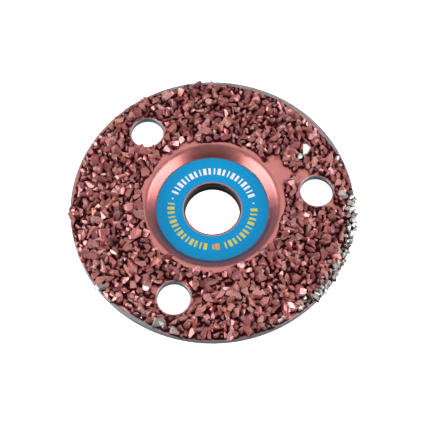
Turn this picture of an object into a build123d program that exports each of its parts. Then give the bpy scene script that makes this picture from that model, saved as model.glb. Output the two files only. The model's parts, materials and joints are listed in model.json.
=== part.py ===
from build123d import *
import math
import os
import random

# Angle grinder disc for carving and trimming: a dished steel plate with a hub ring behind
# its bore, a layer of braze on its front, and crushed carbide grit held in that braze.
# Origin: centre of the bore, on the back face of the hub. +Z points out of the grit side.
# Millimetres and degrees throughout.

# --- Driving dimensions ---
DISC_R = 57.5  # a 115 mm grinder disc
BORE_R = 22.23 / 2  # the standard seven-eighths inch grinder bore
PLATE_T = 3.0  # sheet thickness
HUB_RING_T = 3.0
HUB_RING_R = 20.5  # as wide as a grinder's clamping flange
RIM_ABOVE_HUB = 1.4  # from the hub's front face up to the rim's
CONE_ANGLE = 5.7  # the grit band falls away from the crest to the rim
RIM_ROUND = 0.35
BORE_ROUND = 0.5
HOLE_CHAMFER = 0.25
RING_CHAMFER = 0.4

# --- Dish pressing ---
DISH_FOOT_R = 23.05  # where the hub's flat and the dish wall would meet without their bend
DISH_TOP_R = 27.05  # where the dish wall and the cone would meet without their bend
FOOT_BEND_R = 0.85  # bend radii on the front face
CREST_BEND_R = 3.85

# --- Sight holes ---
HOLE_COUNT = 3
HOLE_R = 6.65
HOLE_PITCH_R = 42.65
FIRST_HOLE_AZIMUTH = 8.7

# --- Braze layer ---
BRAZE_T = 0.3
BRAZE_INNER_R = 29.4
BRAZE_OUTER_R = 56.9
BRAZE_FEATHER = 0.8  # width over which the layer thins out at its edges
HOLE_MARGIN = 0.9  # bare steel kept round each sight hole

# --- Label ---
LABEL_INNER_R = 12.05
LABEL_OUTER_R = 22.63
LABEL_T = 0.12
MARK_R = 16.8  # the printed ring of marks
MARK_HEIGHT = 2.8
MARK_WIDTHS = (1.3, 0.6, 0.95)  # the bars repeat these three widths
# Arcs of bars: azimuths of the first and last, and how many.
WHITE_ARCS = ((20.0, 154.0, 21),)
YELLOW_ARCS = ((-2.0, -72.0, 11), (-100.0, -188.0, 14))
DOT_R = 0.35
DOT_AZIMUTHS = (8.0, 164.0)
EMBLEM_BARS = ((-83.5, 1.7, 2.6), (-89.0, 0.9, 2.0))  # azimuth, width, height

# --- Grit ---
SEED = 7
SECTORS = 12
# The coarse grains are laid first, and each finer size fills the gaps that are left:
# clear radius and number of tries.
GRAIN_SIZES = ((1.50, 2600), (1.25, 3600), (1.05, 5200), (0.85, 7000), (0.70, 9000))
GRAIN_SPREAD = 1.4  # a corner may stand this many clear radii from the grain's centre
GRAIN_GAP = 0.08
FOOT_CORNERS = 6
TOP_CORNERS = 3
CORNER_WANDER = 0.3  # how far a corner may stray round its grain, in parts of its share
FOOT_REACH = (0.86, 1.0)  # least and most of the room that a foot corner takes
TOP_REACH = (0.25, 0.8)  # and that a top corner takes
GRAIN_HEIGHT = (1.0, 1.7)  # least and most height, in clear radii
TOP_LEVEL = (0.55, 1.0)  # least and most height of a top corner, in parts of its grain's
RINGS = (("inner", 29.9, 39.5), ("middle", 39.5, 48.5), ("outer", 48.5, 56.8))
# Smooth patches that hold no grit: distance from the axis, azimuth, patch radius.
BARE_PATCHES = (
    (31.5, 37.0, 3.6),
    (32.4, 25.0, 3.4),
    (38.8, 20.5, 2.6),
    (49.2, 359.0, 1.8),
    (43.0, 238.0, 2.4),
    (37.4, 250.5, 2.0),
    (57.4, 231.0, 2.6),
    (57.6, 304.0, 2.4),
)

# --- Worked out from the above ---
HUB_TOP = HUB_RING_T + PLATE_T
SLOPE = math.tan(math.radians(CONE_ANGLE))
THROUGH = 40.0  # longer than the disc is thick, for cutters that pass right through it
CELL = GRAIN_SPREAD * GRAIN_SIZES[0][0]  # the scatter's search grid
CELLS_AROUND = range(-2, 3)


def cone_z(r):
    """Height of the plate's front face on the cone, at radius r."""
    return HUB_TOP + RIM_ABOVE_HUB + SLOPE * (DISC_R - r)


def polar(r, azimuth):
    """The X and Y of a point at radius r."""
    angle = math.radians(azimuth)
    return r * math.cos(angle), r * math.sin(angle)


def revolved(points):
    """A ring with the closed section given as (r, z) points."""
    section = make_face(Polyline(*points, close=True))
    return revolve(Plane.XZ * section, Axis.Z)


def hole_centres():
    """The centres of the sight holes."""
    step = 360 / HOLE_COUNT
    return [polar(HOLE_PITCH_R, FIRST_HOLE_AZIMUTH + i * step) for i in range(HOLE_COUNT)]


def through_cylinders(radius):
    """Cylinders on the sight holes' axes."""
    return [Pos(x, y, HUB_TOP) * Cylinder(radius, THROUGH) for x, y in hole_centres()]


def backing_plate():
    """The pressed sheet: hub flat, dish wall, crest and cone, with bore and sight holes."""
    past_rim = DISC_R + PLATE_T
    front = FilletPolyline(
        (BORE_R, HUB_TOP),
        (DISH_FOOT_R, HUB_TOP),
        (DISH_TOP_R, cone_z(DISH_TOP_R)),
        (past_rim, cone_z(past_rim)),
        radius=[FOOT_BEND_R, CREST_BEND_R],
    )
    section = make_face(offset(front, PLATE_T, side=Side.RIGHT))
    section &= Rectangle(2 * DISC_R, THROUGH)
    section = fillet(section.vertices().sort_by(Axis.X)[-2:], RIM_ROUND)
    bore_edge = section.vertices().group_by(Axis.X)[0].sort_by(Axis.Y)[-1]
    section = fillet(bore_edge, BORE_ROUND)
    plate = revolve(Plane.XZ * section, Axis.Z)
    for cutter in through_cylinders(HOLE_R):
        plate -= cutter
    return chamfer(front_hole_edges(plate), HOLE_CHAMFER)


def on_circle(edge, x, y, radius):
    """True if an edge keeps to one radius round a vertical axis through (x, y)."""
    points = [edge.position_at(0.3), edge.position_at(0.6)]
    return all(abs(math.hypot(p.X - x, p.Y - y) - radius) < 0.01 for p in points)


def front_hole_edges(plate):
    """The edges where the sight holes open on the front face."""
    found = []
    for x, y in hole_centres():
        rims = [edge for edge in plate.edges() if on_circle(edge, x, y, HOLE_R)]
        found.append(max(rims, key=lambda edge: edge.center().Z))
    return found


def hub_ring():
    """The turned ring behind the bore that brings the hub to its full clamping thickness."""
    return revolved(
        [
            (BORE_R + RING_CHAMFER, 0),
            (HUB_RING_R - RING_CHAMFER, 0),
            (HUB_RING_R, RING_CHAMFER),
            (HUB_RING_R, HUB_RING_T),
            (BORE_R, HUB_RING_T),
            (BORE_R, RING_CHAMFER),
        ]
    )


def braze_layer():
    """The thin braze on the cone, feathered at its edges and open at the bare patches."""
    inner = BRAZE_INNER_R + BRAZE_FEATHER
    outer = BRAZE_OUTER_R - BRAZE_FEATHER
    layer = revolved(
        [
            (BRAZE_INNER_R, cone_z(BRAZE_INNER_R)),
            (BRAZE_OUTER_R, cone_z(BRAZE_OUTER_R)),
            (outer, cone_z(outer) + BRAZE_T),
            (inner, cone_z(inner) + BRAZE_T),
        ]
    )
    for cutter in through_cylinders(HOLE_R + HOLE_MARGIN):
        layer -= cutter
    for r, azimuth, patch_r in BARE_PATCHES:
        x, y = polar(r, azimuth)
        layer -= Pos(x, y, HUB_TOP) * Cylinder(patch_r, THROUGH)
    return layer


def mark(azimuth, width, height=MARK_HEIGHT):
    """One plain printed bar, standing along the radius."""
    bar = Rectangle(height, width)
    return Rot(0, 0, azimuth) * Pos(MARK_R, 0, HUB_TOP) * extrude(bar, LABEL_T)


def arcs_of_marks(arcs):
    """Bars of the three repeating widths, evenly spaced along each arc."""
    bars = []
    for first, last, count in arcs:
        step = (last - first) / (count - 1)
        for i in range(count):
            bars.append(mark(first + i * step, MARK_WIDTHS[i % len(MARK_WIDTHS)]))
    return bars


def dot(azimuth):
    """One round printed dot."""
    disc = extrude(Circle(DOT_R), LABEL_T)
    return Rot(0, 0, azimuth) * Pos(MARK_R, 0, HUB_TOP) * disc


def label_parts():
    """The ring label and its printed marks, which lie flush in it."""
    white = arcs_of_marks(WHITE_ARCS) + [dot(azimuth) for azimuth in DOT_AZIMUTHS]
    yellow = arcs_of_marks(YELLOW_ARCS)
    emblem = [mark(*bar) for bar in EMBLEM_BARS]
    label = Pos(0, 0, HUB_TOP) * extrude(Circle(LABEL_OUTER_R) - Circle(LABEL_INNER_R), LABEL_T)
    for piece in white + yellow + emblem:
        label -= piece
    return {
        "label": label,
        "label_marks_white": Compound(children=white),
        "label_marks_yellow": Compound(children=yellow),
        "label_emblem": Compound(children=emblem),
    }


def is_bare(x, y, size):
    """True where a grain with this footprint would reach a sight hole or a smooth patch."""
    for hx, hy in hole_centres():
        if math.hypot(x - hx, y - hy) < HOLE_R + HOLE_MARGIN + size:
            return True
    for r, azimuth, patch_r in BARE_PATCHES:
        px, py = polar(r, azimuth)
        if math.hypot(x - px, y - py) < patch_r + size:
            return True
    return False


def neighbours(cells, x, y):
    """The grains already laid in the grid cells round a point."""
    column, row = int(x // CELL), int(y // CELL)
    return [
        other
        for i in CELLS_AROUND
        for j in CELLS_AROUND
        for other in cells.get((column + i, row + j), [])
    ]


def scatter_grains(rng):
    """Places (x, y, clear radius) laid at random over the grit band, and the grid of them."""
    cells = {}
    grains = []
    for size, tries in GRAIN_SIZES:
        low = RINGS[0][1] + size
        high = RINGS[-1][2] - size
        for _ in range(tries):
            r = math.sqrt(rng.uniform(low * low, high * high))
            x, y = polar(r, rng.uniform(0, 360))
            if is_bare(x, y, size):
                continue
            near = neighbours(cells, x, y)
            if any(math.hypot(x - a, y - b) < size + other for a, b, other in near):
                continue
            cells.setdefault((int(x // CELL), int(y // CELL)), []).append((x, y, size))
            grains.append((x, y, size))
    return grains, cells


def room(x, y, size, near, azimuth):
    """How far a grain may reach one way: to the line that parts it from a neighbour."""
    reach = GRAIN_SPREAD * size
    way_x, way_y = polar(1, azimuth)
    for a, b, other in near:
        distance = math.hypot(a - x, b - y)
        if distance == 0:
            continue
        towards = (way_x * (a - x) + way_y * (b - y)) / distance
        if towards > 0:
            reach = min(reach, (distance * size / (size + other) - GRAIN_GAP / 2) / towards)
    return reach


def grain(rng, x, y, size, near):
    """One crushed shard: an irregular foot on the braze, narrowing to a broken top."""
    turn = rng.uniform(0, 360)
    height = size * rng.uniform(*GRAIN_HEIGHT)
    outward = math.degrees(math.atan2(y, x))
    corners = []
    for i in range(FOOT_CORNERS):
        azimuth = turn + (i + rng.uniform(-CORNER_WANDER, CORNER_WANDER)) * 360 / FOOT_CORNERS
        foot_r = room(x, y, size, near, azimuth) * rng.uniform(*FOOT_REACH)
        corners.append((*polar(foot_r, azimuth - outward), 0))
    for i in range(TOP_CORNERS):
        azimuth = turn + (i + rng.uniform(-CORNER_WANDER, CORNER_WANDER)) * 360 / TOP_CORNERS
        top_r = room(x, y, size, near, azimuth) * rng.uniform(*TOP_REACH)
        corners.append((*polar(top_r, azimuth - outward), height * rng.uniform(*TOP_LEVEL)))
    seat = cone_z(math.hypot(x, y)) + BRAZE_T
    place = Pos(x, y, seat) * Rot(0, 0, outward) * Rot(0, CONE_ANGLE, 0)
    return place * ConvexPolyhedron(corners)


def ring_of(x, y):
    """The name of the grit ring that a grain belongs to."""
    r = math.hypot(x, y)
    return next(name for name, low, high in RINGS if r < high)


def grit_nodes():
    """All grains, grouped by ring and by sector."""
    rng = random.Random(SEED)
    groups = {}
    grains, cells = scatter_grains(rng)
    for x, y, size in grains:
        sector = int(math.degrees(math.atan2(y, x)) % 360 // (360 / SECTORS)) + 1
        name = f"grit_{ring_of(x, y)}_{sector:02d}"
        shard = grain(rng, x, y, size, neighbours(cells, x, y))
        groups.setdefault(name, []).append(shard)
    return {name: Compound(children=grains) for name, grains in sorted(groups.items())}


def main():
    """Builds every piece and writes one STEP file for each node."""
    nodes = {
        "backing_plate": backing_plate(),
        "hub_ring": hub_ring(),
        "braze_layer": braze_layer(),
        **label_parts(),
        **grit_nodes(),
    }
    os.makedirs("parts", exist_ok=True)
    for name, shape in nodes.items():
        export_step(shape, f"parts/{name}.step")
    grains = sum(len(s.solids()) for n, s in nodes.items() if n.startswith("grit_"))
    print(len(nodes), "nodes,", grains, "grains")


main()
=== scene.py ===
import itertools
import json
import math
import random

import bmesh
import bpy
import numpy as np
from mathutils import Euler, Matrix, Vector, noise
from mathutils.bvhtree import BVHTree
from mathutils.kdtree import KDTree


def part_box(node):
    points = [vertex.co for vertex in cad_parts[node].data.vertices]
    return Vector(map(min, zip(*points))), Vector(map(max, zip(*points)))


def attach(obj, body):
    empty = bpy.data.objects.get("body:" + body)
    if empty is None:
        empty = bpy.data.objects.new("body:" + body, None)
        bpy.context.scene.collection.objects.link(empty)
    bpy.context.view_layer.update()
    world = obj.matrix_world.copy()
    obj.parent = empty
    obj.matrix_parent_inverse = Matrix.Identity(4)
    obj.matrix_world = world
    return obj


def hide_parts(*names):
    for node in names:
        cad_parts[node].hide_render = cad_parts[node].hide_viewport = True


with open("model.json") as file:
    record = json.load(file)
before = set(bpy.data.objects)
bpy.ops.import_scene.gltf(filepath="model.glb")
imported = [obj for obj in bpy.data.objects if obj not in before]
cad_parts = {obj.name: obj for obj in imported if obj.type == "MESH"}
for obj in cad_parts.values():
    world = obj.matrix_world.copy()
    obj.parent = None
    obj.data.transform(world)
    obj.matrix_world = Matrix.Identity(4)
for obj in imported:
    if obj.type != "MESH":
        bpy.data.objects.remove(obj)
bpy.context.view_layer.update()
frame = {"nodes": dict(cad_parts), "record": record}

# A dished angle grinder disc with a band of crushed carbide grit, sprayed copper.
# Lengths are in millimetres until a mesh is written, which is in metres.

MM = 0.001

# --- Sizes, which are the CAD's ---
DISC_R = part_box("backing_plate")[1][0] / MM
BORE_R = 22.23 / 2
RIM_TOP = 7.4
HOLE_R = 6.65
HOLES = [  # the sight holes' centres
    tuple((low + high) / 2 / MM for low, high in zip(*opening["box_m"]))[:2]
    for opening in frame["record"]["physics"]["openings"]
    if opening["name"].startswith("sight_hole")
]

# --- Grit ---
SEED = 11
SECTORS = 12
GRIT_INNER_R = 28.9
RINGS = (("inner", 39.5), ("middle", 48.5), ("outer", 90.0))
SHARD_SHAPES = 90  # different shards, each used many times, turned and stretched
FRACTURES = (5, 8)  # fewest and most fracture planes round a shard
FRACTURE_DEPTH = (0.36, 0.80)  # least and most distance of a plane from the shard's middle
CLOSEST_PLANES = 0.80  # the cosine of the least angle between two planes' directions
SHARD_REACH = 1.1  # a shard is cut off at this distance along each axis
NEARLY_PARALLEL = 0.05  # three planes with a smaller determinant give no corner
SAME_CORNER = 0.06  # corners closer than this are one
FLAT_ANGLE = 5  # degrees: faces that meet at less are one face
CHIP_WIDTH = 0.03
STRETCH = ((0.9, 1.4), (0.75, 1.15), (0.6, 1.0))  # least and most along each axis
LIFT_SPREAD = (0.75, 1.25)  # least and most of its pass's height that a shard stands at
SPRAY_SPREAD = (-0.30, 0.40)  # how far one shard's spray may differ from its neighbours'
GAP_SHADE_HEIGHT = 2.6  # a shard's painted shade ends at this height above the plate
CELL = 4.9  # the scatter's search grid, wider than two coarse shards need
EDGE_ROOM = 0.7  # a shard's middle keeps this many radii inside the grit's edges
PATCH_ROOM = 0.6  # this many from a smooth patch
HOLE_ROOM = 0.95  # and this many, and a margin, from a sight hole
HOLE_MARGIN = 0.7
RIM_INSET = 0.4  # a shard past the rim stands as high as one this far inside it
ALL_ROUND = (0, 360)
# Each pass: layer, smallest and largest shard radius, number of tries, closeness to
# neighbours in the same layer, how far a shard's middle stands above the plate, in radii,
# the azimuths that the pass keeps to, and how near the axis it comes.
PASSES = (
    (0, 1.50, 2.15, 2600, 0.64, 0.58, ALL_ROUND, 0),
    (0, 1.12, 1.50, 9000, 0.64, 0.70, ALL_ROUND, 0),
    (0, 0.78, 1.12, 14000, 0.68, 0.85, ALL_ROUND, 0),
    (0, 0.40, 0.65, 2500, 0.80, 0.90, ALL_ROUND, 0),
    (1, 1.10, 1.75, 420, 1.25, 1.45, ALL_ROUND, 0),
    (1, 0.70, 1.05, 300, 1.10, 2.20, ALL_ROUND, 0),
    (2, 1.00, 1.40, 110, 0.75, 1.60, (347, 364), 55.0),
    (2, 0.65, 1.15, 320, 1.10, 1.30, (300, 372), 54.0),
)
# Between these azimuths, past this radius, the first two layers hold only small shards.
RUBBLE_AZIMUTHS = (300, 12)
RUBBLE_R = 54.0
RUBBLE_LARGEST = 1.35
FAR_RIM_WIDTH = 5  # the far half's rim, where there is no second layer
# The waves along the grit's edges: height, waves in a turn and phase.
INNER_WAVES = ((0.5, 3, 1.0), (0.5, 7, 0.0), (0.35, 13, 2.0))
OUTER_WAVE = (0.25, 11, 3.0)
# How far inside the rim the grit stops: azimuth and margin. It hangs over where negative.
RIM_MARGINS = (
    (0, -0.9),
    (15, 0.3),
    (30, 1.8),
    (50, 2.3),
    (70, 1.8),
    (90, 1.6),
    (110, 1.2),
    (150, 1.0),
    (165, 1.2),
    (178, 0.9),
    (184, -0.3),
    (192, 0.6),
    (205, 0.0),
    (218, -0.3),
    (230, 1.3),
    (245, 1.3),
    (258, 0.4),
    (290, 0.4),
    (310, 0.2),
    (330, -0.8),
    (350, -1.0),
)
# Smooth patches that hold no grit: distance from the axis, azimuth, patch radius.
BARE_PATCHES = (
    (31.5, 37.0, 3.6),
    (32.4, 25.0, 3.4),
    (38.8, 20.5, 2.6),
    (49.2, 359.0, 1.8),
    (43.0, 238.0, 2.4),
    (37.4, 250.5, 2.0),
    (57.4, 231.0, 2.6),
    (57.6, 304.0, 2.4),
)
# Places where the shards have a look of their own: distance from the axis, azimuth, radius of
# the place, tint, hue and how much spray they carry.
OWN_LOOKS = (
    (43.5, 32.0, 2.2, 1.0, 0.5, 0.0),
    (50.5, 259.5, 2.0, 0.8, 0.0, 1.0),
    (56.5, 218.0, 1.6, 0.1, 0.5, 0.0),
    (55.5, 44.0, 1.6, 1.0, 0.5, 0.0),
)


def polar(r, azimuth):
    """The X and Y of a point at radius r."""
    angle = math.radians(azimuth)
    return r * math.cos(angle), r * math.sin(angle)


def smooth(low, high, value):
    """0 below low, 1 above high, and an even blend between."""
    t = min(1.0, max(0.0, (value - low) / (high - low)))
    return t * t * (3 - 2 * t)


# --- Materials ---
def new_material(name):
    """A material, its node tree and its Principled shader."""
    material = bpy.data.materials.new(name)
    material.use_nodes = True
    tree = material.node_tree
    return material, tree, tree.nodes["Principled BSDF"]


def node(tree, kind, **values):
    """A new node with its inputs or properties set by name."""
    made = tree.nodes.new(kind)
    for key, value in values.items():
        if key in made.inputs:
            made.inputs[key].default_value = value
        else:
            setattr(made, key, value)
    return made


def noise_at(tree, scale, detail=4.0):
    """Noise over the object's own coordinates: scale is in cycles per metre."""
    coords = node(tree, "ShaderNodeTexCoord")
    made = node(tree, "ShaderNodeTexNoise", Scale=scale, Detail=detail, Roughness=0.6)
    tree.links.new(coords.outputs["Object"], made.inputs["Vector"])
    return made.outputs["Fac"]


def attribute(tree, name):
    """A value that the mesh carries at each of its corners."""
    return node(tree, "ShaderNodeAttribute", attribute_name=name).outputs["Fac"]


def ramp(tree, source, stops):
    """A colour ramp over source with the given (position, colour) stops."""
    made = tree.nodes.new("ShaderNodeValToRGB")
    elements = made.color_ramp.elements
    while len(elements) < len(stops):
        elements.new(0.5)
    for element, (position, colour) in zip(elements, stops):
        element.position = position
        element.color = (*colour, 1)
    tree.links.new(source, made.inputs["Fac"])
    return made.outputs["Color"]


def mixed(tree, factor, first, second):
    """A blend of two colour outputs or colours."""
    made = node(tree, "ShaderNodeMix", data_type="RGBA")
    sockets = [s for s in made.inputs if s.type == "RGBA"]
    for socket, source in zip(sockets, (first, second)):
        if isinstance(source, tuple):
            socket.default_value = (*source, 1)
        else:
            tree.links.new(source, socket)
    tree.links.new(factor, made.inputs["Factor"])
    return next(s for s in made.outputs if s.type == "RGBA")


def maths(tree, operation, first, second=0.0, third=0.0):
    """One step of arithmetic on outputs or numbers."""
    made = node(tree, "ShaderNodeMath", operation=operation)
    for socket, source in zip(made.inputs, (first, second, third)):
        if isinstance(source, (int, float)):
            socket.default_value = source
        else:
            tree.links.new(source, socket)
    return made.outputs["Value"]


def ranged(tree, source, low, high, to_low=0.0, to_high=1.0):
    """source from low..high taken smoothly to to_low..to_high, and held there."""
    made = node(tree, "ShaderNodeMapRange", interpolation_type="SMOOTHSTEP")
    made.inputs["From Min"].default_value = low
    made.inputs["From Max"].default_value = high
    made.inputs["To Min"].default_value = to_low
    made.inputs["To Max"].default_value = to_high
    tree.links.new(source, made.inputs["Value"])
    return made.outputs["Result"]


def both(tree, first, second):
    """The product of two outputs."""
    return maths(tree, "MULTIPLY", first, second)


def opposite(tree, source):
    """One less an output."""
    return maths(tree, "SUBTRACT", 1.0, source)


def length(tree, across, along):
    """The length in millimetres of a flat vector in metres."""
    squares = maths(tree, "ADD", both(tree, across, across), both(tree, along, along))
    return maths(tree, "MULTIPLY", maths(tree, "SQRT", squares), 1 / MM)


def bump(tree, shader, height, strength, distance):
    """Bumps the shader's surface by a height output."""
    made = node(tree, "ShaderNodeBump", Strength=strength, Distance=distance)
    tree.links.new(height, made.inputs["Height"])
    tree.links.new(made.outputs["Normal"], shader.inputs["Normal"])


# --- Colours of the spray, the steel and the bare carbide, and of painted shade ---
COPPER = (0.62, 0.215, 0.195)
COPPER_DEEP = (0.30, 0.072, 0.080)
COPPER_LIGHT = (0.75, 0.40, 0.355)
COPPER_WARM = (0.64, 0.235, 0.175)
COPPER_MAUVE = (0.56, 0.195, 0.215)
COPPER_DUSTY = (0.49, 0.26, 0.265)
COPPER_RICH = (0.62, 0.165, 0.15)
# painted shade, dark red-brown, low on the shards and down the braze's gaps
COPPER_GAP_SHADE = (0.045, 0.007, 0.011)
# painted shade at the dish's foot: a redder, darker copper
COPPER_FOOT_SHADE = (0.55, 0.14, 0.13)
COPPER_PLATE = ((0.53, 0.175, 0.165), (0.60, 0.205, 0.19))
COPPER_BRAZE = (0.50, 0.16, 0.145)
STEEL = ((0.22, 0.19, 0.19), (0.24, 0.28, 0.30))
HOLE_EDGE = (0.27, 0.33, 0.35)
CREASE_SHADE = (0.015, 0.06, 0.13)  # painted shade in the gap between the label's edge and the dish's foot, blue as a painted reflection of the label
# painted shade down the bore: near black low on its wall, very dark copper near the top
BORE_SHADE_BLACK = (0.004, 0.004, 0.005)
BORE_SPRAYED_SHADE = (0.035, 0.010, 0.016)
HUB_BLACK = ((0.003, 0.004, 0.004), (0.009, 0.011, 0.012))
TAN_SHARD = (0.62, 0.26, 0.15)
PURPLE_SHARD = (0.34, 0.12, 0.15)
CARBIDE_DARK = (0.13, 0.13, 0.12)
CARBIDE_MID = (0.66, 0.63, 0.60)
CARBIDE_PALE = (0.86, 0.85, 0.80)


def place_values(tree):
    """Outputs for the distance from the disc's axis in millimetres, X, Y and Z in metres."""
    coords = node(tree, "ShaderNodeTexCoord")
    parts = node(tree, "ShaderNodeSeparateXYZ")
    tree.links.new(coords.outputs["Object"], parts.inputs["Vector"])
    x, y, z = (parts.outputs[k] for k in "XYZ")
    return length(tree, x, y), x, y, z


# Where each change of colour on the plate starts and is complete: distances from the axis or
# from a hole's centre in millimetres, and places along Y or Z in metres.
FOOT_R = (25.6, 23.2)
CREASE_FROM_R = (22.45, 22.65)
CREASE_TO_R = (23.15, 22.85)
BORE_EDGE_R = (BORE_R + 0.35, BORE_R + 0.65)
BORE_SPRAY_Z = (0.0045, 0.0052)
HOLE_EDGE_R = (HOLE_R - 0.15, HOLE_R + 0.15)
WORN_R = (57.0, 58.2)
NEAR_WEAR_Y = (-0.022, -0.040)
FAR_WEAR_Y = (0.030, 0.050)
FAR_WEAR_X_SHARE = 0.6  # the far side's wear is turned towards +X by this share of X
NEAR_WEAR = 1.9  # how many millimetres further in the rim is worn on that side
FAR_WEAR = 1.1
WEAR_WANDER = 1.5  # how far noise moves the worn edge
HOLE_WANDER = -0.5  # and the edge of the spray round a sight hole
WORN_MOST = 0.9


def rim_wear(tree, radius, x, y, wander):
    """How far the spray on the plate is worn off at the rim, from 0 to its most."""
    near_side = ranged(tree, y, *NEAR_WEAR_Y)
    far_side = ranged(tree, maths(tree, "MULTIPLY_ADD", x, FAR_WEAR_X_SHARE, y), *FAR_WEAR_Y)
    outwards = maths(tree, "MULTIPLY_ADD", near_side, NEAR_WEAR, radius)
    outwards = maths(tree, "MULTIPLY_ADD", far_side, FAR_WEAR, outwards)
    outwards = maths(tree, "MULTIPLY_ADD", wander, WEAR_WANDER, outwards)
    return maths(tree, "MULTIPLY", ranged(tree, outwards, *WORN_R), WORN_MOST)


def facing_front(tree):
    """1 on faces that face the disc's front, 0 on its edges and back."""
    geometry = node(tree, "ShaderNodeNewGeometry")
    way = node(tree, "ShaderNodeSeparateXYZ")
    tree.links.new(geometry.outputs["Normal"], way.inputs["Vector"])
    return ranged(tree, way.outputs["Z"], 0.05, 0.55)


def plate_paint():
    """Satin copper spray on the plate's front, thin at the rim, over bare dark steel, with shade
    painted at the dish's foot, at the label's edge and down the bore.
    """
    material, tree, shader = new_material("plate_copper_spray")
    radius, x, y, z = place_values(tree)
    mottle = noise_at(tree, 420.0, 6.0)
    wander = noise_at(tree, 260.0, 5.0)
    copper = ramp(tree, mottle, list(zip((0.30, 0.70), COPPER_PLATE)))
    steel = ramp(tree, noise_at(tree, 500.0, 8.0), list(zip((0.35, 0.6), STEEL)))
    worn = rim_wear(tree, radius, x, y, wander)
    painted = both(tree, facing_front(tree), opposite(tree, worn))
    colour = mixed(tree, painted, steel, copper)

    for hx, hy in HOLES:
        across = maths(tree, "SUBTRACT", x, hx * MM)
        along = maths(tree, "SUBTRACT", y, hy * MM)
        off = maths(tree, "MULTIPLY_ADD", wander, HOLE_WANDER, length(tree, across, along))
        clear = ranged(tree, off, *HOLE_EDGE_R)
        colour = mixed(tree, clear, HOLE_EDGE, colour)
        painted = both(tree, painted, clear)

    # Painted shade at the dish's foot: the colour goes to a redder, darker copper there.
    foot = ranged(tree, radius, *FOOT_R)
    colour = mixed(tree, foot, colour, COPPER_FOOT_SHADE)
    # Painted shade, blue like a painted reflection of the label, in the ring between the label's
    # edge and the dish's foot.
    crease = both(tree, ranged(tree, radius, *CREASE_FROM_R), ranged(tree, radius, *CREASE_TO_R))
    colour = mixed(tree, crease, colour, CREASE_SHADE)
    painted = both(tree, painted, opposite(tree, crease))
    # Painted shade down the bore: near black low on the wall, very dark copper spray near its top.
    bore_shade = mixed(tree, ranged(tree, z, *BORE_SPRAY_Z), BORE_SHADE_BLACK, BORE_SPRAYED_SHADE)
    colour = mixed(tree, ranged(tree, radius, *BORE_EDGE_R), bore_shade, colour)

    tree.links.new(colour, shader.inputs["Base Color"])
    metal = maths(tree, "MULTIPLY_ADD", painted, 0.5, 0.3)
    tree.links.new(maths(tree, "MULTIPLY_ADD", foot, 0.2, metal), shader.inputs["Metallic"])
    tree.links.new(maths(tree, "MULTIPLY_ADD", foot, 0.5, 0.25), shader.inputs["Coat Weight"])
    tree.links.new(ranged(tree, mottle, 0.2, 0.8, 0.32, 0.40), shader.inputs["Roughness"])
    shader.inputs["Coat Roughness"].default_value = 0.28
    shader.inputs["Coat IOR"].default_value = 1.7
    bump(tree, shader, noise_at(tree, 2600.0, 3.0), 0.10, 0.00004)
    return material


def shard_paint():
    """Copper spray on crushed carbide, thin on some shards, with shade painted dark red-brown low
    on each shard.
    """
    material, tree, shader = new_material("shard_copper_spray")
    tint, height, coverage, hue = (
        attribute(tree, name) for name in ("tint", "height", "coverage", "hue")
    )
    speckle = noise_at(tree, 1500.0, 6.0)
    hues = (TAN_SHARD, COPPER_WARM, COPPER, COPPER, COPPER_MAUVE, PURPLE_SHARD)
    copper = ramp(tree, hue, list(zip((0.0, 0.04, 0.4, 0.6, 0.92, 1.0), hues)))
    copper = mixed(tree, ranged(tree, tint, 0.35, 0.0), copper, COPPER_DEEP)
    copper = mixed(tree, ranged(tree, tint, 0.75, 1.0), copper, COPPER_LIGHT)
    patchy = noise_at(tree, 330.0, 2.0)
    copper = mixed(tree, ranged(tree, patchy, 0.48, 0.68, 0.0, 0.6), copper, COPPER_DUSTY)
    copper = mixed(tree, ranged(tree, patchy, 0.48, 0.32, 0.0, 0.8), copper, COPPER_RICH)
    copper = mixed(tree, ranged(tree, speckle, 0.35, 0.75, 0.0, 0.5), copper, COPPER_DEEP)
    carbide = ramp(tree, tint, [(0.0, CARBIDE_DARK), (0.5, CARBIDE_MID), (1.0, CARBIDE_PALE)])
    worn = maths(tree, "ADD", coverage, maths(tree, "MULTIPLY_ADD", speckle, 0.5, -0.25))
    painted = ranged(tree, worn, 0.35, 0.65)
    colour = mixed(tree, painted, carbide, copper)
    # Painted shade: the colour goes dark red-brown low on each shard, and its gloss fades there.
    lit = ranged(tree, height, 0.15, 0.70)
    tree.links.new(mixed(tree, lit, COPPER_GAP_SHADE, colour), shader.inputs["Base Color"])
    tree.links.new(maths(tree, "MULTIPLY", lit, 0.7), shader.inputs["Specular IOR Level"])
    tree.links.new(maths(tree, "MULTIPLY", lit, 0.55), shader.inputs["Coat Weight"])
    shader.inputs["Metallic"].default_value = 0.5
    shader.inputs["Coat Roughness"].default_value = 0.24
    shader.inputs["Coat IOR"].default_value = 1.7
    tree.links.new(ranged(tree, speckle, 0.2, 0.8, 0.26, 0.40), shader.inputs["Roughness"])
    bump(tree, shader, noise_at(tree, 3200.0, 5.0), 0.35, 0.00008)
    return material


def braze_paint():
    """The braze between the shards: copper where it lies open, with shade painted near black in the
    gaps next to the shards.
    """
    material, tree, shader = new_material("braze_copper_spray")
    openness = attribute(tree, "openness")
    copper = ramp(tree, noise_at(tree, 700.0, 6.0), [(0.3, COPPER_BRAZE), (0.7, COPPER)])
    # Painted shade: the braze goes near black close to each shard, and its gloss fades there.
    lit = ranged(tree, openness, 0.15, 0.9)
    tree.links.new(mixed(tree, lit, COPPER_GAP_SHADE, copper), shader.inputs["Base Color"])
    tree.links.new(maths(tree, "MULTIPLY", lit, 0.5), shader.inputs["Specular IOR Level"])
    shader.inputs["Metallic"].default_value = 0.7
    shader.inputs["Roughness"].default_value = 0.42
    bump(tree, shader, noise_at(tree, 1800.0, 4.0), 0.3, 0.0001)
    return material


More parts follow.
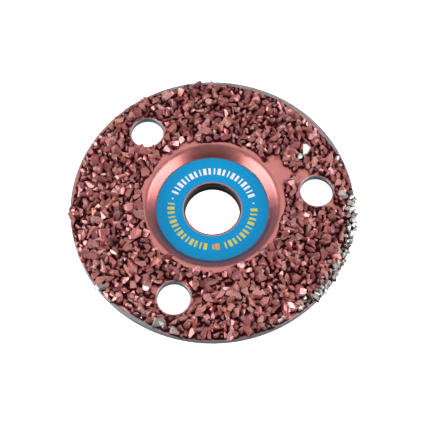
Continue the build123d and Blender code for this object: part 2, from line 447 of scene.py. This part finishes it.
def hub_black():
    """Blackened steel with fine turning marks."""
    material, tree, shader = new_material("hub_blackened")
    radius = place_values(tree)[0]
    marks = maths(tree, "SINE", maths(tree, "MULTIPLY", radius, 42.0))
    colour = ramp(tree, noise_at(tree, 800.0, 6.0), list(zip((0.3, 0.7), HUB_BLACK)))
    tree.links.new(colour, shader.inputs["Base Color"])
    shader.inputs["Metallic"].default_value = 0.5
    shader.inputs["Specular IOR Level"].default_value = 0.15
    shader.inputs["Roughness"].default_value = 0.38
    bump(tree, shader, marks, 0.25, 0.00003)
    return material


def print_film(name, dark, light):
    """Printed film with a faint unevenness in the ink."""
    material, tree, shader = new_material(name)
    ink = ramp(tree, noise_at(tree, 600.0, 5.0), [(0.3, dark), (0.7, light)])
    tree.links.new(ink, shader.inputs["Base Color"])
    shader.inputs["Roughness"].default_value = 0.32
    shader.inputs["Specular IOR Level"].default_value = 0.12
    bump(tree, shader, noise_at(tree, 1500.0, 2.0), 0.06, 0.00003)
    return material


# --- The plate's surface, for what sits on it ---
def plate_surface():
    """A function from (x, y) to the height of the plate's front face, or None over a hole."""
    mesh = frame["nodes"]["backing_plate"].data
    corners = [v.co[:] for v in mesh.vertices]
    tree = BVHTree.FromPolygons(corners, [p.vertices[:] for p in mesh.polygons])

    def height(x, y):
        above = Vector((x * MM, y * MM, 50 * MM))
        place = tree.ray_cast(above, Vector((0, 0, -1)))[0]
        return place.z / MM if place else None

    return height


# --- Grit ---
def shard_shape(rng):
    """One broken shard: the (corners, faces) of the space inside random fracture planes."""
    normals = []
    count = rng.randint(*FRACTURES)
    while len(normals) < count:
        way = Vector([rng.gauss(0, 1) for _ in range(3)]).normalized()
        if all(way.dot(other) < CLOSEST_PLANES for other in normals):
            normals.append(way)
    depths = [rng.uniform(*FRACTURE_DEPTH) for _ in normals]
    for way in ((1, 0, 0), (0, 1, 0), (0, 0, 1)):
        normals.extend([Vector(way), -Vector(way)])
        depths.extend([SHARD_REACH, SHARD_REACH])
    normals, depths = np.array(normals), np.array(depths)
    triples = np.array(list(itertools.combinations(range(len(depths)), 3)))
    planes = normals[triples]
    triples = triples[np.abs(np.linalg.det(planes)) > NEARLY_PARALLEL]
    points = np.linalg.solve(normals[triples], depths[triples][..., None])[..., 0]
    points = points[(points @ normals.T <= depths + 1e-6).all(axis=1)]
    mesh = bmesh.new()
    for point in points:
        mesh.verts.new(point)
    bmesh.ops.remove_doubles(mesh, verts=mesh.verts, dist=SAME_CORNER)
    bmesh.ops.convex_hull(mesh, input=mesh.verts)
    inner = [v for v in mesh.verts if not v.link_faces]
    bmesh.ops.delete(mesh, geom=inner, context="VERTS")
    flat = math.radians(FLAT_ANGLE)
    bmesh.ops.dissolve_limit(mesh, angle_limit=flat, verts=mesh.verts, edges=mesh.edges)
    bmesh.ops.recalc_face_normals(mesh, faces=mesh.faces)
    edges = mesh.edges[:]
    bmesh.ops.bevel(mesh, geom=edges, offset=CHIP_WIDTH, segments=1, affect="EDGES", profile=0.5)
    mesh.verts.index_update()
    corners = np.array([v.co[:] for v in mesh.verts])
    faces = [[v.index for v in f.verts] for f in mesh.faces]
    mesh.free()
    return corners, faces


def is_bare(x, y, size):
    """True in a sight hole's margin or a smooth patch."""
    clear_r = HOLE_R + HOLE_MARGIN + HOLE_ROOM * size
    if any(math.hypot(x - hx, y - hy) < clear_r for hx, hy in HOLES):
        return True
    for r, azimuth, patch_r in BARE_PATCHES:
        px, py = polar(r, azimuth)
        if math.hypot(x - px, y - py) < patch_r + PATCH_ROOM * size:
            return True
    return False


def inner_edge(azimuth):
    """Radius at which the grit begins, which wanders round the dish."""
    turn = math.radians(azimuth)
    waves = (high * math.sin(count * turn + phase) for high, count, phase in INNER_WAVES)
    return sum(waves, GRIT_INNER_R)


def outer_edge(azimuth):
    """Radius at which the grit ends, which wanders along the rim."""
    high, count, phase = OUTER_WAVE
    margin = np.interp(azimuth, *zip(*RIM_MARGINS), period=360)
    return DISC_R - margin + high * math.sin(count * math.radians(azimuth) + phase)


def is_unwanted(layer, x, y, size):
    """True where this layer holds no shard of this size."""
    r = math.hypot(x, y)
    if is_bare(x, y, size):
        return True
    if layer == 1 and y > 0 and r > DISC_R - FAR_RIM_WIDTH:
        return True
    start, end = RUBBLE_AZIMUTHS
    azimuth = math.degrees(math.atan2(y, x)) % 360
    in_rubble = r > RUBBLE_R and not end < azimuth < start
    return layer < 2 and in_rubble and size > RUBBLE_LARGEST


def scatter(rng):
    """(x, y, size, lift) for every shard, coarse ones first."""
    cells = {}
    shards = []
    for layer, smallest, largest, tries, closeness, lift, azimuths, nearest in PASSES:
        for _ in range(tries):
            size = rng.uniform(smallest, largest)
            azimuth = rng.uniform(*azimuths)
            low = max(nearest, inner_edge(azimuth) + EDGE_ROOM * size)
            high = outer_edge(azimuth) - EDGE_ROOM * size
            x, y = polar(math.sqrt(rng.uniform(low * low, high * high)), azimuth)
            if is_unwanted(layer, x, y, size):
                continue
            column, row = int(x // CELL), int(y // CELL)
            near = [
                other
                for i in (-1, 0, 1)
                for j in (-1, 0, 1)
                for other in cells.get((layer, column + i, row + j), [])
            ]
            if any(math.hypot(x - a, y - b) < closeness * (size + s) for a, b, s in near):
                continue
            cells.setdefault((layer, column, row), []).append((x, y, size))
            shards.append((x, y, size, lift * rng.uniform(*LIFT_SPREAD)))
    return shards


# Where the spray on the shards thins out: azimuth of the middle, how far it spreads to each
# side, and how far in from the rim.
THIN_SPRAY = ((338.0, 44.0, 5.2), (240.0, 22.0, 2.6), (300.0, 18.0, 2.0), (60.0, 70.0, 1.0))
THIN_MIDDLE = 0.4  # it is thinnest over this share of the spread
THIN_FADE = 2  # it starts to thin this much further in
THINNEST_INSET = 0.3  # and is thinnest this far inside the rim


def coverage_at(x, y):
    """How much spray reaches this place: 1 over most of the disc, less near parts of the rim."""
    r = math.hypot(x, y)
    azimuth = math.degrees(math.atan2(y, x))
    cover = 1.0
    for middle, spread, width in THIN_SPRAY:
        off = abs((azimuth - middle + 180) % 360 - 180)
        near_rim = smooth(DISC_R - width - THIN_FADE, DISC_R - THINNEST_INSET, r)
        thin = near_rim * (1 - smooth(THIN_MIDDLE * spread, spread, off))
        cover = min(cover, 1 - thin)
    return cover


def look_at(x, y, rng):
    """The (tint, hue, coverage) of a shard that stands at this place."""
    tint, hue = rng.random(), rng.random()
    coverage = min(1.0, max(0.0, coverage_at(x, y) + rng.uniform(*SPRAY_SPREAD)))
    for r, azimuth, reach, *look in OWN_LOOKS:
        px, py = polar(r, azimuth)
        if math.hypot(x - px, y - py) < reach:
            tint, hue, coverage = look
    return tint, hue, coverage


def node_of(x, y):
    """The ring and sector, as the CAD grit nodes name them, that hold this point."""
    r = math.hypot(x, y)
    ring = next(name for name, high in RINGS if r < high)
    sector = int(math.degrees(math.atan2(y, x)) % 360 // (360 / SECTORS)) + 1
    return f"{ring}_{sector:02d}"


def make_piece(name, corners, faces, attributes, material, replaced):
    """A mesh piece with point attributes, riding on the disc."""
    mesh = bpy.data.meshes.new(name)
    mesh.from_pydata(corners, [], faces)
    for key, values in attributes.items():
        mesh.attributes.new(key, "FLOAT", "POINT").data.foreach_set("value", values)
    mesh.materials.append(material)
    piece = bpy.data.objects.new(name, mesh)
    bpy.context.scene.collection.objects.link(piece)
    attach(piece, "root")
    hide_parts(replaced)
    return piece


def grit(surface, material):
    """One mesh of shards for each CAD grit node. Returns every shard's place."""
    rng = random.Random(SEED)
    shapes = [shard_shape(rng) for _ in range(SHARD_SHAPES)]
    shards = scatter(rng)
    groups = {}
    for shard in shards:
        groups.setdefault(node_of(*shard[:2]), []).append(shard)
    for name, members in sorted(groups.items()):
        corners, faces = [], []
        attributes = {"tint": [], "hue": [], "height": [], "coverage": []}
        for x, y, size, lift in members:
            shape, shape_faces = rng.choice(shapes)
            stretch = [rng.uniform(*ends) for ends in STRETCH]
            turn = np.array(Euler([rng.uniform(0, 2 * math.pi) for _ in range(3)]).to_matrix())
            inside = min(1.0, (DISC_R - RIM_INSET) / math.hypot(x, y))
            plate_z = surface(x * inside, y * inside)
            placed = (shape * stretch * size) @ turn + [x, y, plate_z + lift * size]
            start = len(corners)
            corners.extend(map(tuple, placed * MM))
            faces.extend([start + i for i in face] for face in shape_faces)
            count = len(shape)
            for key, value in zip(("tint", "hue", "coverage"), look_at(x, y, rng)):
                attributes[key].extend([value] * count)
            # A shard's height above the plate, which sets where its painted shade ends.
            heights = (placed[:, 2] - plate_z) / GAP_SHADE_HEIGHT
            attributes["height"].extend(np.clip(heights, 0, 1))
        replaced = f"grit_{name}"
        make_piece(f"shards_{name}", corners, faces, attributes, material, replaced)
    return shards


# --- Braze ---
BRAZE_T = 0.3
BRAZE_THIN = 0.06  # how much thinner it is well away from any shard
BRAZE_DEPTH = 0.8  # from the sheet's front down to its back, inside the plate
BRAZE_SINK = 0.02  # how far the front lies below the plate's where there is no braze
BRAZE_RINGS = 58
BRAZE_STEPS = 540
BRAZE_PAST_GRIT = (0.3, 0.2)  # how far it shows past the grit's inner and outer edges
BRAZE_FEATHER = 0.7  # width over which it thins out at its edges
WETTING = 0.55  # how high it climbs a shard
WETTING_WIDTH = 0.35
LUMPS = 0.18
LUMP_SCALE = 0.6  # lumps in a millimetre
HOLE_BRAZE_MARGIN = 0.35
HOLE_EDGE_MARGIN = 0.3  # the sheet itself ends this far from a sight hole
NEAREST_SHARDS = 4
SHARD_CORE = 0.55  # a shard meets the braze at this many of its radii
# Distances from a shard over which the braze gets thin, gets thinner still, and opens up.
THINNING_GAP = (0.5, 2.2)
THINNEST_GAP = (0.6, 2.0)
OPENING_GAP = (0.3, 1.6)


def braze_thickness(x, y, gap, edge):
    """Thickness of the braze, gap from the nearest shard and edge inside its own edges."""
    wet = WETTING * math.exp(-max(gap, 0) / WETTING_WIDTH)
    lump = LUMPS * noise.noise(Vector((x, y, 0)) * LUMP_SCALE)
    thick = BRAZE_T * (1 - smooth(*THINNING_GAP, gap)) + wet + lump
    return thick * smooth(0.0, BRAZE_FEATHER, edge) - BRAZE_THIN * smooth(*THINNEST_GAP, gap)


def closed_sheet(faces, depth_step):
    """The faces of a front, those of a back depth_step corners on, and the walls between."""
    closed = []
    for face in faces:
        closed.append(face)
        closed.append([v + depth_step for v in reversed(face)])
    sides = [side for face in faces for side in zip(face, face[1:] + face[:1])]
    shared = set(sides)
    for a, b in sides:
        if (b, a) not in shared:
            closed.append([b, a, a + depth_step, b + depth_step])
    return closed


def braze(surface, shards, material):
    """The braze as one closed lumpy sheet that wets up each shard and thins out at bare steel."""
    tree = KDTree(len(shards))
    for i, (x, y, _, _) in enumerate(shards):
        tree.insert((x, y, 0), i)
    tree.balance()
    past_inner, past_outer = BRAZE_PAST_GRIT
    corners, openness, keep = [], [], []
    for i in range(BRAZE_RINGS + 1):
        for j in range(BRAZE_STEPS):
            azimuth = 360 * j / BRAZE_STEPS
            low, high = inner_edge(azimuth) - past_inner, outer_edge(azimuth) + past_outer
            r = low + (high - low) * i / BRAZE_RINGS
            x, y = polar(r, azimuth)
            near = tree.find_n((x, y, 0), NEAREST_SHARDS)
            gap = min(distance - SHARD_CORE * shards[k][2] for _, k, distance in near)
            hole = min(math.hypot(x - hx, y - hy) for hx, hy in HOLES) - HOLE_R
            edge = min(r - low, high - r, hole - HOLE_BRAZE_MARGIN)
            base = surface(x, y)
            z = (base or RIM_TOP) + braze_thickness(x, y, gap, edge) - BRAZE_SINK
            corners.append((x * MM, y * MM, z * MM))
            # How far from a shard the painted shade on the braze lets up.
            openness.append(smooth(*OPENING_GAP, gap))
            keep.append(base is not None and hole > HOLE_EDGE_MARGIN)
    depth_step = len(corners)
    corners.extend([(x, y, z - BRAZE_DEPTH * MM) for x, y, z in corners])
    openness.extend(openness[:depth_step])
    front = []
    for i in range(BRAZE_RINGS):
        for j in range(BRAZE_STEPS):
            inner, outer, onward = i * BRAZE_STEPS, (i + 1) * BRAZE_STEPS, (j + 1) % BRAZE_STEPS
            face = [inner + j, outer + j, outer + onward, inner + onward]
            if all(keep[v] for v in face):
                front.append(face)
    faces = closed_sheet(front, depth_step)
    used = sorted({v for face in faces for v in face})
    place = {v: i for i, v in enumerate(used)}
    piece = make_piece(
        "braze_wetting",
        [corners[v] for v in used],
        [[place[v] for v in face] for face in faces],
        {"openness": [openness[v] for v in used]},
        material,
        "braze_layer",
    )
    piece.data.shade_smooth()


def assign(name, material):
    """Gives a carried-over CAD node its material."""
    slots = frame["nodes"][name].data.materials
    slots.clear()
    slots.append(material)


# --- Stage ---
FLOOR_HALF = 3.0  # metres


def floor():
    """A pale floor under the hub's back face."""
    mesh = bpy.data.meshes.new("floor")
    corners = [(x * FLOOR_HALF, y * FLOOR_HALF, 0) for x, y in ((-1, -1), (1, -1), (1, 1), (-1, 1))]
    mesh.from_pydata(corners, [], [(0, 1, 2, 3)])
    made = bpy.data.objects.new("floor", mesh)
    bpy.context.scene.collection.objects.link(made)
    material, tree, shader = new_material("floor_white")
    shader.inputs["Base Color"].default_value = (0.9, 0.9, 0.9, 1)
    shader.inputs["Roughness"].default_value = 0.8
    shader.inputs["Emission Color"].default_value = (1, 1, 1, 1)
    shader.inputs["Emission Strength"].default_value = 1.0
    mesh.materials.append(material)
    made.visible_diffuse = False
    made.visible_glossy = False
    made.visible_shadow = False


def softbox(name, azimuth, elevation, distance, width, height, brightness):
    """A soft rectangular light of even brightness, aimed at the disc."""
    data = bpy.data.lights.new(name, "AREA")
    data.shape = "RECTANGLE"
    data.size = width
    data.size_y = height
    data.energy = brightness * math.pi * width * height
    light = bpy.data.objects.new(name, data)
    x, y = polar(math.cos(math.radians(elevation)), azimuth)
    place = distance * Vector((x, y, math.sin(math.radians(elevation))))
    light.location = place
    light.rotation_euler = (-place).to_track_quat("-Z", "Y").to_euler()
    bpy.context.scene.collection.objects.link(light)


def studio():
    """Softboxes low on the left and right, a wide dimmer one overhead, and a dark room."""
    scene = bpy.context.scene
    scene.view_settings.view_transform = "Standard"
    world = bpy.data.worlds.new("studio")
    world.use_nodes = True
    world.node_tree.nodes["Background"].inputs["Color"].default_value = (0.95, 0.97, 1, 1)
    world.node_tree.nodes["Background"].inputs["Strength"].default_value = 0.13
    scene.world = world
    softbox("left_softbox", 194.0, 9.0, 0.8, 0.84, 0.82, 5.2)
    softbox("right_softbox", 346.0, 9.0, 0.8, 0.87, 0.82, 5.0)
    softbox("far_softbox", 90.0, 66.0, 0.9, 1.10, 1.30, 1.12)


CAMERA_ELEVATION = 65.67
CAMERA_DISTANCE = 0.727  # metres
CAMERA_ROLL = -0.28


def camera():
    """A long lens, well above the disc."""
    elevation = math.radians(CAMERA_ELEVATION)
    data = bpy.data.cameras.new("camera")
    data.sensor_width = 36
    data.lens = 152.0
    data.clip_start = 0.01
    data.shift_x = 0.0012
    data.shift_y = -0.0130
    made = bpy.data.objects.new("camera", data)
    target = Vector((0, 0, RIM_TOP * MM))
    way = Vector((0, -math.cos(elevation), math.sin(elevation)))
    made.location = target + CAMERA_DISTANCE * way
    tilt = Matrix.Rotation(math.pi / 2 - elevation, 3, "X")
    roll = Matrix.Rotation(math.radians(CAMERA_ROLL), 3, "Z")
    made.rotation_euler = (tilt @ roll).to_euler()
    bpy.context.scene.collection.objects.link(made)
    bpy.context.scene.camera = made


# The printed CAD nodes: name, material, and the darkest and lightest of the ink.
PRINTS = (
    ("label", "label_blue", (0.0008, 0.310, 0.66), (0.0010, 0.330, 0.69)),
    ("label_marks_white", "print_white", (0.90, 0.93, 0.95), (0.95, 0.97, 0.98)),
    ("label_marks_yellow", "print_yellow", (0.74, 0.62, 0.06), (0.84, 0.72, 0.10)),
    ("label_emblem", "print_orange", (0.80, 0.36, 0.04), (0.86, 0.42, 0.06)),
)

surface = plate_surface()
assign("backing_plate", plate_paint())
assign("hub_ring", hub_black())
for name, material, dark, light in PRINTS:
    assign(name, print_film(material, dark, light))
shards = grit(surface, shard_paint())
braze(surface, shards, braze_paint())
floor()
studio()
camera()
